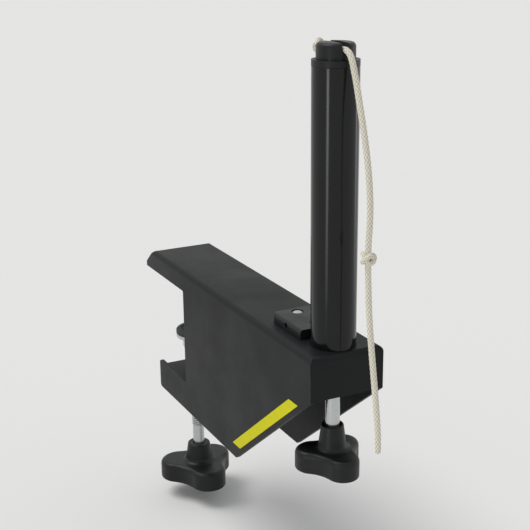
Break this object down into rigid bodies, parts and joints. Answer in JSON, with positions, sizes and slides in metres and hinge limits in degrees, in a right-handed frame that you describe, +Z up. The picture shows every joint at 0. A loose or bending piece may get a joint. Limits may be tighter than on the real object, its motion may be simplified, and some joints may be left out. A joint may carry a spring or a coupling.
{
  "type": "table tennis net clamp",
  "caption": "Steel channel clamp with a screw-driven foot that grips a table edge, carrying a telescoping net post, a height screw and a tension cord.",
  "frame": {"origin": "on the table's surface at its side edge, in the clamp's middle plane: a point on the underside of the upper jaw pad", "axes": "+X away from the table along the net line, +Y along the table's side edge, +Z up"},
  "size_m": [0.2413, 0.0462, 0.2945],
  "materials": {
    "powder_coat": "black powder coat on folded steel, fine satin texture",
    "tube_lacquer": "glossy black lacquer on drawn steel tube",
    "moulded_black": "black injection-moulded plastic, fine grain",
    "zinc_plate": "bright zinc-plated steel",
    "pad_rubber": "matt dark grey rubber",
    "stripe_film": "yellow-green printed film",
    "cord_braid": "braided off-white synthetic cord"
  },
  "bodies": {
    "frame": {"frame_channel": "powder_coat", "side_stripes": "stripe_film", "jaw_bracket": "powder_coat", "upper_jaw_pad": "pad_rubber", "clamp_nut": "zinc_plate", "post_seat_plate": "powder_coat", "post_tube": "tube_lacquer", "guide_bush": "moulded_black", "net_tie_block": "moulded_black", "tie_rivets": "zinc_plate", "thrust_washer": "zinc_plate"},
    "clamp_foot": {"pressure_foot": "zinc_plate", "foot_pad": "pad_rubber"},
    "clamp_spindle": {"clamp_screw": "zinc_plate", "clamp_knob": "moulded_black"},
    "height_spindle": {"height_screw": "zinc_plate", "height_knob": "moulded_black", "stem_clip": "zinc_plate"},
    "post": {"inner_tube": "tube_lacquer", "lift_nut": "moulded_black", "post_cap": "moulded_black", "cord": "cord_braid", "stop_knot": "cord_braid", "cord_knot": "cord_braid"}
  },
  "joints": [
    {"name": "foot_slide", "type": "slide", "parent": "frame", "child": "clamp_foot", "axis": [0, 0, 1], "range_m": [-0.01, 0.03]},
    {"name": "clamp_turn", "type": "hinge", "parent": "clamp_foot", "child": "clamp_spindle", "pos_m": [-0.029, 0, -0.045], "axis": [0, 0, 1], "range_deg": [-2881, 8641]},
    {"name": "post_slide", "type": "slide", "parent": "frame", "child": "post", "axis": [0, 0, 1], "range_m": [0, 0.045]},
    {"name": "height_turn", "type": "hinge", "parent": "frame", "child": "height_spindle", "pos_m": [0.1415, 0, -0.02], "axis": [0, 0, 1], "range_deg": [-12961, 1]}
  ],
  "couplings": [
    {"joint": "clamp_turn", "follows": "foot_slide", "rad_per_m": 5026.5},
    {"joint": "height_turn", "follows": "post_slide", "rad_per_m": -5026.5}
  ]
}
